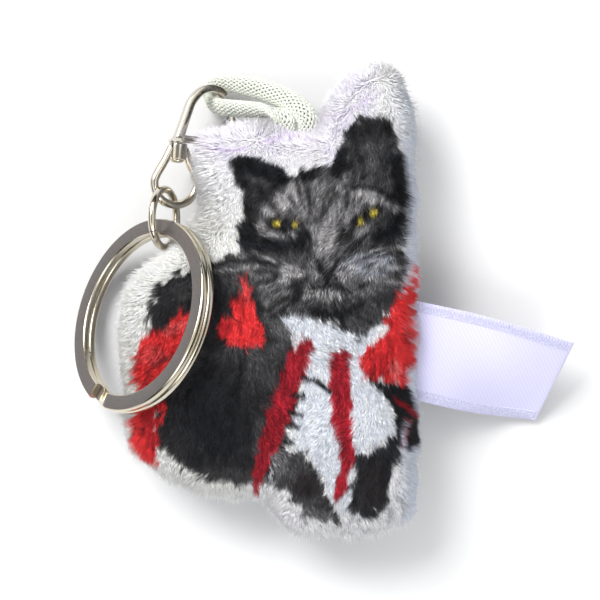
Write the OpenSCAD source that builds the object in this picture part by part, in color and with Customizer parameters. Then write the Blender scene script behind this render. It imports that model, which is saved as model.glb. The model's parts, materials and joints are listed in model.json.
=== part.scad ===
// Plush keychain: a cat-shaped stuffed charm with a ribbon label, a braided
// loop sewn into its top seam, a swivel snap hook, a jump ring and a split ring.
// The charm lies on its back. X is to its right, Y is towards its ears, Z is up.
// The origin is on the flat back, under the middle of the whole keychain.

/* [Plush] */
// Width of the stuffed body across the two flanks
plush_w = 44.5; // [34:0.5:56]
// Height of the stuffed body from the feet to the ear tip
plush_h = 71; // [56:0.5:90]
// Thickness of the stuffed body
plush_t = 21; // [18:0.5:26]
// Thickness of the pile fabric, backing and flattened pile
fabric_t = 1.0; // [0.7:0.1:1.4]
// Slack between the filling and the fabric
fill_gap = 0.15; // [0.1:0.05:0.4]
// Diameter of the sewing thread
thread_d = 0.3; // [0.2:0.05:0.4]
// Length of the hand-sewn closing seam
closing_l = 16; // [8:1:24]

/* [Label] */
// Width of the satin ribbon
label_w = 15; // [10:0.5:18]
// Length of the folded ribbon outside the seam
label_l = 23.5; // [14:0.5:30]
// Thickness of the two folded layers together
label_t = 0.5; // [0.4:0.05:0.8]

/* [Loop] */
// Width of the flat braided cord
cord_w = 3.4; // [2.4:0.1:4]
// Thickness of the flat braided cord
cord_t = 1.8; // [1.2:0.1:2.2]

/* [Snap hook] */
// Width of the square hook wire
hook_wire = 1.3; // [1:0.1:1.5]
// Diameter of the hook's flared base
base_d = 3.1; // [2.6:0.1:4]
// Diameter of the gate's hinge pin
pin_d = 0.7; // [0.5:0.05:0.9]
// Running clearance of pins in their bores, on the radius
pin_gap = 0.03; // [0.02:0.01:0.08]
// Diameter of the swivel rivet's shank
rivet_d = 1.1; // [0.9:0.1:1.3]
// Wire diameter of the swivel eye
eye_wire = 1.3; // [1:0.1:1.5]
// Width of the swivel eye between the centres of its sides
eye_w = 7.2; // [6.4:0.1:9]

/* [Rings] */
// Outer diameter of the jump ring
jump_d = 10; // [9:0.1:12]
// Wire diameter of the jump ring
jump_wire = 1.2; // [0.9:0.1:1.3]
// Outer diameter of the split ring
split_d = 30; // [24:0.5:36]
// Width of the split ring's flat wire
split_w = 2.5; // [1.8:0.1:3]
// Thickness of one turn of the split ring
split_t = 1.15; // [0.8:0.05:1.3]

/* [Hidden] */

// ---- the cat outline, in units of a body 44.5 wide and 71 high ----
outline_w = 44.5;
outline_h = 71;
middle = [-5, -5];
outline_points = [
    [-19.6, 23.6], [-17.6, 25.1], [-14, 26.2], [-10.6, 26.2], [-7.4, 25.2],
    [-4, 25], [-1.4, 25.8], [0.2, 29.6], [2.4, 32.6], [4.8, 34.6],
    [7.2, 35.1], [9.4, 34.2], [10.8, 31.6], [11.8, 27.4], [11.9, 21],
    [12.2, 12], [12.5, 4], [12.4, -4], [12.3, -14], [12.8, -21],
    [12.3, -28], [11.4, -33], [8, -34.4], [2, -35.2], [-4.6, -35.5],
    [-7.4, -33.2], [-8.8, -30.6], [-13, -29.8], [-19, -29], [-25, -26.4],
    [-29.2, -23], [-30.8, -19.6], [-30.6, -14], [-31.3, -8], [-31.1, -1],
    [-28.8, 3.2], [-24.6, 7], [-20.4, 9.8], [-18.5, 13.4], [-18.8, 19]];
steps_per_span = 2;
scale_x = plush_w / outline_w;
scale_y = plush_h / outline_h;

function spline(a, b, c, d, t) = 0.5 * ((2 * b) + (c - a) * t
    + (2 * a - 5 * b + 4 * c - d) * t * t + (3 * b - a - 3 * c + d) * t * t * t);
function closed_spline(pts, steps) = [
    for (i = [0 : len(pts) - 1]) for (s = [0 : steps - 1])
        let (n = len(pts))
        spline(pts[(i + n - 1) % n], pts[i], pts[(i + 1) % n], pts[(i + 2) % n], s / steps)];
function open_spline(pts, steps) = [
    for (i = [0 : len(pts) - 2]) for (s = [0 : (i == len(pts) - 2 ? steps : steps - 1)])
        let (n = len(pts))
        spline(pts[max(i - 1, 0)], pts[i], pts[i + 1], pts[min(i + 2, n - 1)], s / steps)];
function flip(pts) = [for (i = [len(pts) - 1 : -1 : 0]) pts[i]];
function unit(v) = v / norm(v);

// The outline runs anticlockwise after the flip
outline = flip([for (p = closed_spline(outline_points, steps_per_span))
    [p.x * scale_x, p.y * scale_y]]);
centre = [middle.x * scale_x, middle.y * scale_y];

// ---- cushion profile: height over the seam against distance from the middle ----
seam_z = plush_t * 0.48;
front_rise = plush_t - seam_z;
back_rise = seam_z * 1.14;
shells = [1, 0.985, 0.955, 0.91, 0.85, 0.76, 0.62, 0.4];
profile_power = 2.6;
function rise(f) = sqrt(1 - pow(f, profile_power));

// One ring of a cushion surface: inset from the outline, at a height
function inset_point(p, d) = p - d * unit(p - centre);
function ring(f, inset, rise_z, side, floor_z) = [
    for (p = outline)
        let (q = centre + f * (inset_point(p, inset) - centre),
             z = seam_z + side * rise_z * rise(f))
        [q.x, q.y, max(z, floor_z)]];
function dome_points(inset, rise_z, side, floor_z) = concat(
    [for (f = shells) each ring(f, inset, rise_z, side, floor_z)],
    [[centre.x, centre.y, max(seam_z + side * rise_z, floor_z)]]);
// Faces of a dome, outward for the front side; flipped for the other
function dome_faces(n, m, base, flipped) = [
    for (k = [0 : m - 2]) for (i = [0 : n - 1])
        let (a = base + k * n + i, b = base + k * n + (i + 1) % n, c = b + n, d = a + n)
        each (flipped ? [[a, b, c], [a, c, d]] : [[a, c, b], [a, d, c]]),
    for (i = [0 : n - 1])
        let (a = base + (m - 1) * n + i, b = base + (m - 1) * n + (i + 1) % n, top = base + m * n)
        flipped ? [a, b, top] : [a, top, b]];

// A fabric panel: an outer dome, an inner dome and the rim between them
module panel(side, rise_z) {
    n = len(outline);
    m = len(shells);
    outer = dome_points(0, rise_z, side, 0);
    inner = dome_points(fabric_t, rise_z - fabric_t, side, fabric_t);
    shift = len(outer);
    rim = [for (i = [0 : n - 1]) let (j = (i + 1) % n)
        each (side > 0 ? [[i, j, shift + j], [i, shift + j, shift + i]]
                       : [[i, shift + j, j], [i, shift + i, shift + j]])];
    polyhedron(concat(outer, inner),
        concat(dome_faces(n, m, 0, side < 0), dome_faces(n, m, shift, side > 0), rim),
        convexity = 6);
}

module front_panel() { color("whitesmoke") panel(1, front_rise); }
module back_panel() { color("lavender") panel(-1, back_rise); }

// ---- the filling: one closed solid inside both panels ----
thread_slack = 0.5;
thread_room = thread_d + thread_slack;
module stuffing() {
    n = len(outline);
    m = len(shells);
    inset = fabric_t + thread_room + fill_gap;
    top = dome_points(inset, front_rise - fabric_t - fill_gap, 1, 0);
    low = dome_points(inset, back_rise - fabric_t - fill_gap, -1, fabric_t + fill_gap);
    // the two domes share the seam ring, so the lower one starts at its second ring
    below = [for (i = [n : len(low) - 1]) low[i]];
    shift = len(top);
    belt = [for (i = [0 : n - 1]) let (j = (i + 1) % n)
        each [[i, j, shift + j], [i, shift + j, shift + i]]];
    color("white") polyhedron(concat(top, below),
        concat(dome_faces(n, m, 0, false), belt, dome_faces(n, m - 1, shift, true)),
        convexity = 6);
}

// ---- sewing thread: a closed line just inside the seam, with a hand-sewn part ----
thread_gap = 0.15;
thread_inset = fabric_t + thread_gap;
closing_at = [-13, -29.5];
closing_cut = 0.2;
closing_below = 6;
closing_reach = 14;
module thread_line() {
    translate([0, 0, seam_z - thread_d / 2]) linear_extrude(thread_d) difference() {
        polygon([for (p = outline) inset_point(p, thread_inset)]);
        polygon([for (p = outline) inset_point(p, thread_inset + thread_d)]);
    }
}
module closing_zone(length) {
    translate([closing_at.x * scale_x - length / 2, closing_at.y * scale_y - closing_below, 0])
        cube([length, closing_reach, plush_t]);
}
module seam_thread() {
    color("ghostwhite") difference() { thread_line(); closing_zone(closing_l + 2 * closing_cut); }
}
module closing_thread() {
    color("white") intersection() { thread_line(); closing_zone(closing_l); }
}

// ---- satin label: a folded ribbon that twists down to the surface ----
label_start = [11.6 * scale_x, -7.5 * scale_y];
label_slope = 13;
label_roll = 36;
label_skew = 1.5;
label_steps = 12;
label_low_z = 0.9;
function smooth(u) = u * u * (3 - 2 * u);
// u runs along the ribbon and v across it, from -1 at the lower edge to 1 at the upper
function label_point(u, v, side) =
    let (along = u * label_l, across = v * label_w / 2, droop = smooth(u),
         end_z = label_low_z + label_w / 2 * sin(label_roll))
    [label_start.x + along * cos(label_slope) + across * sin(label_slope) * label_skew * u,
     label_start.y - along * sin(label_slope) + across * (1 - u + cos(label_roll * droop) * u),
     seam_z + (end_z - seam_z) * droop + across * sin(label_roll * droop) + side * label_t / 2];
module satin_label() {
    n = label_steps;
    w = 6;
    top = [for (i = [0 : n]) for (j = [0 : w]) label_point(i / n, 2 * j / w - 1, 1)];
    low = [for (i = [0 : n]) for (j = [0 : w]) label_point(i / n, 2 * j / w - 1, -1)];
    s = len(top);
    faces = [
        for (i = [0 : n - 1]) for (j = [0 : w - 1])
            let (a = i * (w + 1) + j, b = a + 1, c = b + w + 1, d = a + w + 1)
            each [[a, c, d], [a, b, c], [s + a, s + d, s + c], [s + a, s + c, s + b]],
        for (i = [0 : n - 1])
            let (a = i * (w + 1), d = a + w + 1, b = a + w, c = d + w)
            each [[a, d, s + d], [a, s + d, s + a], [b, s + c, c], [b, s + b, s + c]],
        for (j = [0 : w - 1])
            let (a = j, b = j + 1, c = n * (w + 1) + j, d = c + 1)
            each [[a, s + b, b], [a, s + a, s + b], [c, d, s + d], [c, s + d, s + c]]];
    color("aliceblue") polyhedron(concat(top, low), faces, convexity = 4);
}

// ---- tubes: a section swept along a path ----
function tangent(p, i) = unit(p[min(i + 1, len(p) - 1)] - p[max(i - 1, 0)]);
// The section keeps its first direction as level with `side` as the path lets it
function sweep_ring(p, i, section, side) =
    let (t = tangent(p, i), s = side[min(i, len(side) - 1)],
         a = unit(s - (s * t) * t), b = cross(t, a))
    [for (q = section) p[i] + q.x * a + q.y * b];
module sweep(path, section, side) {
    n = len(path);
    m = len(section);
    points = [for (i = [0 : n - 1]) each sweep_ring(path, i, section, side)];
    faces = concat(
        [[for (j = [m - 1 : -1 : 0]) j]],
        [for (i = [0 : n - 2]) for (j = [0 : m - 1])
            let (a = i * m + j, b = i * m + (j + 1) % m)
            each [[a, b, b + m], [a, b + m, a + m]]],
        [[for (j = [0 : m - 1]) (n - 1) * m + j]]);
    polyhedron(points, [for (f = faces) flip(f)], convexity = 8);
}
function oval(w, t, n) = [for (j = [0 : n - 1]) [w / 2 * cos(360 * j / n), t / 2 * sin(360 * j / n)]];
// A square with cut corners
function bevelled(w, cut) = let (h = w / 2, k = h - cut)
    [[h, -k], [h, k], [k, h], [-k, h], [-h, k], [-h, -k], [-k, -h], [k, -h]];

// ---- the braided loop: chosen by hand, from one seam exit round to the other ----
cord_points = [
    [-3.4, 26.4, 10], [-3.6, 27.4, 10], [-4.6, 28.9, 9.7], [-7, 30.6, 8.4], [-10.4, 32.1, 6.6],
    [-13.4, 33, 4.8], [-15.8, 33.4, 3.4], [-17.8, 33.1, 2.7], [-19, 32, 2.5],
    [-18.7, 30.7, 2.9], [-17.4, 29.8, 4.6], [-15.4, 29.3, 6.8], [-12.6, 29, 8.4],
    [-9.6, 28.6, 9.5], [-7.3, 27.6, 10], [-7, 26.4, 10]];
cord_steps = 2;
cord_rings = (len(cord_points) - 1) * cord_steps + 1;
// The wide way of the flat cord lies level at its ends and stands up at the bend
bend_roll = 32;
cord_sides = [for (i = [0 : cord_rings - 1])
    let (turn = 180 * i / (cord_rings - 1), roll = bend_roll * sin(turn))
    [cos(turn) * cos(roll), sin(turn) * cos(roll), sin(roll)]];
tail_in = 2.6;
sewn_gap = 0.15;
module cord_loop() {
    color("gainsboro")
        sweep(open_spline(cord_points, cord_steps), oval(cord_w, cord_t, 8), cord_sides);
}
// The two ends of the same cord, held between the panels
module loop_tails() {
    color("gainsboro") for (end = [cord_points[0], cord_points[len(cord_points) - 1]])
        sweep([end - [0, tail_in, 0], end - [0, tail_in / 2, 0], end - [0, sewn_gap, 0]],
            oval(cord_w, cord_t, 8), [[1, 0, 0]]);
}

// ---- the snap hook and its swivel: X across, Y along the swivel axis, Z off its face ----
// The hardware keeps its distance from the left flank as the body or the jump ring grows
flank_x = -31.3;
jump_usual = 10;
swivel_out = flank_x * (scale_x - 1) - (jump_d - jump_usual) / 2;
swivel_at = [-23.4 + swivel_out, 22.6 * scale_y, 8.1];
swivel_lean = 4;
swivel_pitch = 3;
swivel_roll = 30;
module in_swivel() { translate(swivel_at) swivel_turn() children(); }
module swivel_turn() {
    rotate([0, 0, -swivel_lean]) rotate([swivel_pitch, 0, 0]) rotate([0, swivel_roll, 0]) children();
}
// The same turns for a point, as a function
function about_x(p, a) = [p.x, p.y * cos(a) - p.z * sin(a), p.y * sin(a) + p.z * cos(a)];
function about_y(p, a) = [p.x * cos(a) + p.z * sin(a), p.y, p.z * cos(a) - p.x * sin(a)];
function about_z(p, a) = [p.x * cos(a) - p.y * sin(a), p.x * sin(a) + p.y * cos(a), p.z];
function from_swivel(p) = swivel_at
    + about_z(about_x(about_y(p, swivel_roll), swivel_pitch), -swivel_lean);

barrel_h = 2.45;
barrel_step = 0.2;
barrel_d = base_d - barrel_step;
end_gap = 0.06;
base_h = 0.8;
base_rim = 0.3;
base_y = barrel_h / 2 + end_gap;
top_y = base_y + base_h;
// Where the wires are rooted in the base, a little below its top
wire_root = 0.3;
root_y = top_y - wire_root;
head_h = 0.5;
head_taper = 0.4;
rivet_margin = 1;
head_d = rivet_d + rivet_margin;
head_overlap = 0.01;
bore_over = 1;
bore_share = 0.8;
shank_share = 0.7;
wire_cut = hook_wire / 5;
// The hook from its flared base up the back and over to the nose
hook_back = [[0, 0], [0.3, 1.3], [1.1, 4], [1.8, 6], [3.2, 7.6], [4.8, 8.2], [6.4, 8], [7.4, 7.3]];
// The foot that carries the gate
hook_foot = [[0.2, 0.2], [2.2, 0.1], [4.4, 0.3], [6.6, 1]];
gate_pivot = [8.5, 1.6];
gate_path = [[8.5, 1.6], [9.1, 3.4], [8.9, 5.2], [8.2, 6.4]];
knuckle_wall = 0.5;
knuckle_d = pin_d + 2 * knuckle_wall;
knuckle_w = 0.7;
ear_w = 0.4;
ear_gap = 0.08;
ear_arm = 2.2;
ear_turn = 200;
gate_cut = 0.14;
pin_proud = 0.1;
fork_w = knuckle_w + 2 * (ear_gap + ear_w);
function lift(pts, y) = [for (p = pts) [p.x, p.y + y, 0]];
module round_y(d, h, d2 = -1) {
    rotate([-90, 0, 0]) cylinder(d1 = d, d2 = d2 < 0 ? d : d2, h = h, $fn = 48);
}

module hook_body() {
    color("silver") in_swivel() difference() {
        union() {
            translate([0, base_y, 0]) round_y(base_d, base_h, hook_wire + base_rim);
            sweep(open_spline(lift(hook_back, root_y), 3), bevelled(hook_wire, wire_cut), [[1, 0, 0]]);
            sweep(open_spline(lift(hook_foot, root_y), 3), bevelled(hook_wire, wire_cut), [[0, 1, 0]]);
            for (s = [-1, 1]) translate([gate_pivot.x, gate_pivot.y + root_y,
                s * (knuckle_w / 2 + ear_gap + ear_w / 2)]) ear();
        }
        // the hole for the rivet and the hole for the gate's pin
        translate([0, base_y - bore_over, 0]) round_y(rivet_d, bore_over + base_h * bore_share);
        translate([gate_pivot.x, gate_pivot.y + root_y, -fork_w])
            cylinder(d = pin_d, h = 2 * fork_w, $fn = 32);
    }
}
// One ear of the fork, joined to the foot
module ear() {
    cylinder(d = knuckle_d, h = ear_w, center = true, $fn = 40);
    rotate([0, 0, ear_turn]) translate([0, -knuckle_d / 2, -ear_w / 2])
        cube([ear_arm, knuckle_d, ear_w]);
}
module hook_gate() {
    color("silver") in_swivel() difference() {
        union() {
            translate([gate_pivot.x, gate_pivot.y + root_y, 0])
                cylinder(d = knuckle_d, h = knuckle_w, center = true, $fn = 40);
            sweep(open_spline(lift(gate_path, root_y), 4), bevelled(knuckle_w, gate_cut), [[1, 0, 0]]);
        }
        translate([gate_pivot.x, gate_pivot.y + root_y, -fork_w])
            cylinder(d = pin_d + 2 * pin_gap, h = 2 * fork_w, $fn = 32);
    }
}
module gate_pin() {
    color("darkgray") in_swivel() translate([gate_pivot.x, gate_pivot.y + root_y, 0])
        cylinder(d = pin_d, h = fork_w + 2 * pin_proud, center = true, $fn = 32);
}
// A bent wire, rooted in the foot, that leans on the back of the gate
spring_wire = 0.3;
spring_path = [[6.2, 0.8], [6.6, 2.2], [7.6, 3.2], [8.4, 4.1]];
module gate_spring() {
    color("gray") in_swivel()
        sweep(open_spline(lift(spring_path, root_y), 3), oval(spring_wire, spring_wire, 8), [[1, 0, 0]]);
}
module swivel_rivet() {
    color("silver") in_swivel() {
        translate([0, -barrel_h / 2 - end_gap - head_h, 0]) round_y(head_d - head_taper, head_h, head_d);
        translate([0, -barrel_h / 2 - end_gap - head_overlap, 0])
            round_y(rivet_d, barrel_h + 2 * end_gap + base_h * shank_share);
    }
}
eye_half = eye_w / 2;
eye_side = [[-1.1, 0.5], [-2, -1.4], [-eye_half * 0.93, -3.9], [-eye_half, -5.1],
            [-eye_half * 0.86, -6.6], [-eye_half * 0.5, -7.8]];
eye_low = [0, -8.2];
eye_path = concat(eye_side, [eye_low], [for (p = flip(eye_side)) [-p.x, p.y]]);
module swivel_eye() {
    color("silver") in_swivel() difference() {
        union() {
            translate([0, -barrel_h / 2, 0]) round_y(barrel_d, barrel_h);
            sweep(open_spline(lift(eye_path, 0), 3), oval(eye_wire, eye_wire, 10), [[0, 0, 1]]);
        }
        translate([0, -barrel_h, 0]) round_y(rivet_d + 2 * pin_gap, 2 * barrel_h);
    }
}

// ---- the rings, each placed from the one before it ----
wire_gap = 0.15;
hang_play = 0.45;
// Where the jump ring hangs on the eye, and which way it points
eye_hang = from_swivel([-0.9, -8.1, 0]);
jump_dir = unit([-0.22, -0.82, 0.52]);
jump_tilt = [0.94, 0.05, 0.33];
jump_r = (jump_d - jump_wire) / 2;
jump_in = jump_d / 2 - jump_wire;
jump_at = eye_hang + jump_dir * (jump_in - eye_wire / 2 - hang_play);
// A frame with its Z along n and its X near x
module frame_at(p, x, n) {
    k = unit(n);
    i = unit(x - (x * k) * k);
    j = cross(k, i);
    multmatrix([[i.x, j.x, k.x, p.x], [i.y, j.y, k.y, p.y], [i.z, j.z, k.z, p.z], [0, 0, 0, 1]])
        children();
}
module jump_ring() {
    color("silver") frame_at(jump_at, jump_dir, jump_tilt - (jump_tilt * jump_dir) * jump_dir)
        rotate_extrude($fn = 72) translate([jump_r, 0]) circle(d = jump_wire, $fn = 32);
}

split_lean = 20;
split_tilt = 50;
split_swing = -13;
turn_gap = 0.06;
long_way = [sin(split_lean), cos(split_lean), 0];
rising_way = [cos(split_lean) * cos(split_tilt), -sin(split_lean) * cos(split_tilt), sin(split_tilt)];
band_dir = cos(split_swing) * long_way + sin(split_swing) * rising_way;
split_in = split_d / 2 - split_w;
band_corner = norm([split_w, 2 * split_t + turn_gap]) / 2;
band_at = jump_at + jump_dir * (jump_in - band_corner - wire_gap);
split_at = band_at - band_dir * (split_d - split_w) / 2;
// One flat wire wound twice round; it steps from the first turn to the second
step_half = 9;
split_start = 186;
wire_steps = 108;
function wound(k) =
    let (a = step_half + 1 + (720 - 2 * step_half - 2) * k / wire_steps,
         climb = min(1, max(-1, (a - 360) / step_half)))
    [split_start + a, climb * (split_t + turn_gap) / 2];
module split_ring() {
    h = split_t / 2;
    points = [for (k = [0 : wire_steps]) let (w = wound(k))
        for (c = [[split_in, -h], [split_d / 2, -h], [split_d / 2, h], [split_in, h]])
            [c.x * cos(w[0]), c.x * sin(w[0]), w[1] + c.y]];
    faces = concat([[3, 2, 1, 0]],
        [for (k = [0 : wire_steps - 1]) for (j = [0 : 3])
            let (a = 4 * k + j, b = 4 * k + (j + 1) % 4) each [[a, b, b + 4], [a, b + 4, a + 4]]],
        [[for (j = [0 : 3]) 4 * wire_steps + j]]);
    color("dimgray") frame_at(split_at, long_way, cross(long_way, rising_way))
        polyhedron(points, faces, convexity = 8);
}

front_panel();
back_panel();
stuffing();
seam_thread();
closing_thread();
satin_label();
loop_tails();
cord_loop();
hook_body();
hook_gate();
gate_pin();
gate_spring();
swivel_rivet();
swivel_eye();
jump_ring();
split_ring();
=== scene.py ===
"""The looks of a plush keychain: printed pile, braided loop, satin label and bright metal hardware.

Lengths in the constants below are in millimetres, in the CAD frame, and MM turns them into metres.
"""

import json
import math

import bmesh
import bpy
import numpy as np
from mathutils import Matrix, Vector
from mathutils.bvhtree import BVHTree


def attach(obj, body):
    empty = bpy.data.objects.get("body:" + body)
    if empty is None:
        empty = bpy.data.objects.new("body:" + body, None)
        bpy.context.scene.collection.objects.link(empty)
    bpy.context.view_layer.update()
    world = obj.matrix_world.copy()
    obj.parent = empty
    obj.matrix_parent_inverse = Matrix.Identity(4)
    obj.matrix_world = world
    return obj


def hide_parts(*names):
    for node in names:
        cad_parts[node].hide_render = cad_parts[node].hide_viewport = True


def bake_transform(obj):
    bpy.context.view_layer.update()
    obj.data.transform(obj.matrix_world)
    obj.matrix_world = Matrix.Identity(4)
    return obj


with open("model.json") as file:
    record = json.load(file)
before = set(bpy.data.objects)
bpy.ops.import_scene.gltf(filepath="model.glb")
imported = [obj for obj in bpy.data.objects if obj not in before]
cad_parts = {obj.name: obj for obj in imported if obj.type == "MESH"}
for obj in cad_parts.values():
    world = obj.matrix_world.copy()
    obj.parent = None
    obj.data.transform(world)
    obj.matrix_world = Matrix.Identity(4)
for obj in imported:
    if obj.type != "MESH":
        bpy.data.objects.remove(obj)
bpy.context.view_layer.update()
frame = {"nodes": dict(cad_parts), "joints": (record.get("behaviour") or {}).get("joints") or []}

MM = 0.001
scene = bpy.context.scene
joints = {joint["name"]: joint for joint in frame["joints"]}

# ---- the camera, straight above ----

CAMERA_HEIGHT = 350
VIEW_CENTRE = (-4.7, -0.15)
SENSOR = 36
SEAM_Z = 10.08
# how much of the plane of the seam the view takes in, from side to side
VIEW_WIDTH = 91.2
NEAREST_SEEN = 10


def linked(name, data):
    """A new object in the scene."""
    obj = bpy.data.objects.new(name, data)
    scene.collection.objects.link(obj)
    return obj


def make_camera():
    data = bpy.data.cameras.new("camera")
    data.sensor_width = SENSOR
    data.lens = SENSOR * (CAMERA_HEIGHT - SEAM_Z) / VIEW_WIDTH
    data.clip_start = NEAREST_SEEN * MM
    camera = linked("camera", data)
    camera.location = Vector((*VIEW_CENTRE, CAMERA_HEIGHT)) * MM
    scene.camera = camera


make_camera()

# ---- curves, sections and meshes ----


def unit(v):
    v = np.asarray(v, float)
    return v / np.maximum(np.linalg.norm(v, axis=-1, keepdims=True), 1e-12)


def spline(points, steps):
    """A smooth curve through the points, with steps places to a span."""
    p = np.array(points, float)
    last = len(p) - 1
    out = []
    for i in range(last):
        a, b, c, d = p[max(i - 1, 0)], p[i], p[i + 1], p[min(i + 2, last)]
        for t in np.arange(steps) / steps:
            bend = (2 * a - 5 * b + 4 * c - d) * t * t
            out.append(0.5 * (2 * b + (c - a) * t + bend + (3 * b - a - 3 * c + d) * t**3))
    return np.array(out + [p[-1]])


def smooth(t):
    t = np.clip(t, 0, 1)
    return t * t * (3 - 2 * t)


def tangents(path):
    return unit(np.gradient(path, axis=0))


def frames_along(path, side):
    """The wide and the thin direction at each place: side made square to the path, and the third."""
    t = tangents(path)
    side = np.broadcast_to(np.asarray(side, float), path.shape)
    wide = unit(side - (side * t).sum(1)[:, None] * t)
    return wide, np.cross(t, wide)


def shell_faces(m, n):
    """The faces over n rings of m corners each, closed at both ends."""
    faces = [(i * m + j, i * m + (j + 1) % m, (i + 1) * m + (j + 1) % m, (i + 1) * m + j)
             for i in range(n - 1) for j in range(m)]
    return faces + [tuple(range(m - 1, -1, -1)), tuple((n - 1) * m + j for j in range(m))]


def swept(path, section, across, up):
    """A section, a list of (across, up), carried along a path whose directions are given."""
    section = np.asarray(section, float)
    corners = (path[:, None] + section[None, :, :1] * across[:, None]
               + section[None, :, 1:] * up[:, None])
    return corners.reshape(-1, 3), shell_faces(len(section), len(path))


def tube(path, section, side, widths=1):
    """A section swept along a path with its width towards side, and scaled by widths."""
    wide, thin = frames_along(path, side)
    return swept(path, section, wide * widths, thin * widths)


def whole_turn(sides):
    return np.arange(sides) * 2 * math.pi / sides


def round_section(width, thickness, sides):
    turn = whole_turn(sides)
    return np.stack([width / 2 * np.cos(turn), thickness / 2 * np.sin(turn)], 1)


def rounded_square(width, radius, steps=4):
    """A square with round corners, as (across, up) points."""
    out = []
    for k in range(4):
        middle = np.array([(1, 1), (-1, 1), (-1, -1), (1, -1)][k]) * (width / 2 - radius)
        for s in range(steps + 1):
            a = math.pi / 2 * (k + s / steps)
            out.append(middle + radius * np.array([math.cos(a), math.sin(a)]))
    return np.array(out)


def joined(parts):
    """Several (corners, faces) pairs as one."""
    corners, faces, shift = [], [], 0
    for c, f in parts:
        corners.append(np.asarray(c))
        faces += [tuple(i + shift for i in face) for face in f]
        shift += len(c)
    return np.concatenate(corners), faces


def make_piece(name, shape, material, body, stands_for=(), flat_angle=None):
    """A mesh object from (corners, faces) in millimetres, riding on a body where one is named."""
    corners, faces = shape
    mesh = bpy.data.meshes.new(name)
    mesh.from_pydata((np.asarray(corners) * MM).tolist(), [], faces)
    finish_mesh(mesh, flat_angle)
    obj = linked(name, mesh)
    mesh.materials.append(material)
    if body:
        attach(obj, body)
    if stands_for:
        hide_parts(*stands_for)
    return obj


def finish_mesh(mesh, flat_angle=None):
    """Outward normals and smooth shading, with edges sharper than flat_angle kept sharp."""
    work = bmesh.new()
    work.from_mesh(mesh)
    bmesh.ops.recalc_face_normals(work, faces=work.faces)
    for face in work.faces:
        face.smooth = True
    if flat_angle is not None:
        limit = math.radians(flat_angle)
        for edge in work.edges:
            edge.smooth = len(edge.link_faces) == 2 and edge.calc_face_angle(0) < limit
    work.to_mesh(mesh)
    work.free()


def read_vectors(mesh, what):
    values = np.empty(len(mesh.vertices) * 3, np.float64)
    mesh.vertices.foreach_get(what, values)
    return values.reshape(-1, 3)


def coordinates(mesh):
    return read_vectors(mesh, "co")


def normals_of(mesh):
    return read_vectors(mesh, "normal")


def set_coordinates(mesh, co):
    mesh.vertices.foreach_set("co", co.ravel())
    mesh.update()


# ---- noise that is the same on every run ----


def lattice(ix, iy, seed):
    h = (ix * 374761393 + iy * 668265263 + seed * 1442695041) & 0x7FFFFFFF
    h = ((h ^ (h >> 13)) * 1274126177) & 0x7FFFFFFF
    return ((h ^ (h >> 16)) & 0xFFFF) / 65535


def noise(x, y, size, seed):
    """Smooth noise from 0 to 1 with patches of a size."""
    x, y = np.asarray(x, float) / size + 500, np.asarray(y, float) / size + 500
    ix, iy = np.floor(x).astype(np.int64), np.floor(y).astype(np.int64)
    fx, fy = smooth(x - ix), smooth(y - iy)
    low = lattice(ix, iy, seed) * (1 - fx) + lattice(ix + 1, iy, seed) * fx
    high = lattice(ix, iy + 1, seed) * (1 - fx) + lattice(ix + 1, iy + 1, seed) * fx
    return low * (1 - fy) + high * fy


# ---- the print: a cat in a red cape on a white ground, on the plane of the seam ----

WHITE = (0.96, 0.95, 0.98)
BLACK = (0.012, 0.013, 0.016)
SOOT = (0.026, 0.026, 0.029)
BROWNISH = (0.026, 0.021, 0.023)
DARK_GREY = (0.07, 0.068, 0.071)
GREY = (0.2, 0.195, 0.2)
PALE_GREY = (0.37, 0.36, 0.365)
BLUE_GREY = (0.32, 0.335, 0.375)
RED = (0.86, 0.042, 0.046)
RIBBON_RED = (0.46, 0.018, 0.034)
DEEP_RED = (0.3, 0.01, 0.02)
PINK_RED = (0.9, 0.17, 0.17)
BIB_WHITE = (0.84, 0.87, 0.95)
EYE = (0.62, 0.5, 0.08)
LILAC = (0.82, 0.76, 0.96)
PURPLE = (0.7, 0.46, 0.86)
# cool white: painted shade along the ground's right edge, and print in a tick on the right flank; warm
# white: painted light on the ground's left
COOL_WHITE_SHADE_AND_PRINT = (0.74, 0.8, 0.97)
WARM_PAINTED_LIGHT = (0.97, 0.96, 0.9)
DARKEST, LIGHTEST = 0.004, 0.97

HEAD = [
    (-15.8, 20.7), (-14.2, 21.7), (-10.5, 21.4), (-6.4, 19.2), (-4.2, 19.5), (0.3, 20.2), (1, 22.6),
    (2.4, 25.4), (4.6, 27.4), (6.9, 28.2), (8.9, 27.1), (10.3, 24), (11.3, 20.4), (12.2, 15),
    (11.9, 11.6), (11.5, 7.6), (12, 4.4), (10.2, 0), (7.4, -4.2), (4.4, -6.2), (0.8, -4.1),
    (-2.6, -3.4), (-6.2, -2.4), (-9.6, -3.4), (-10.4, -1.2), (-11.4, 1.4), (-12.6, 4), (-19, 3.6),
    (-19, 5.6), (-13.6, 6.8), (-14, 10.4), (-12.9, 12.8), (-13.4, 15.4), (-14.6, 18),
]
BODY = [
    (-27.2, 1.4), (-25.4, 3.2), (-20, 5), (-13, 5.4), (-8, 2), (-6.2, -2.6), (-5.2, -8),
    (-4.4, -14.6), (-6.4, -22), (-9.4, -27.2), (-13.6, -28.3), (-17.4, -27.8), (-21.6, -26.5),
    (-25.1, -24.2), (-27.6, -21.6), (-27, -17), (-26.4, -10), (-27.8, -4.4),
]
BIB = [
    (-8, -3), (-6, -1.6), (-3.4, -1.8), (-0.6, -4), (2.8, -3), (6.2, -1.8), (8.6, -1.4), (7, -5.6),
    (4.7, -8.6), (5.5, -12.6), (7.9, -15), (9.4, -17.6), (9.3, -21), (4.7, -23.8), (3.4, -26),
    (3.2, -33), (1.2, -33), (-1.4, -27), (-3.8, -23.8), (-6.2, -21.6), (-4.6, -14.6), (-5.8, -5),
]
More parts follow.
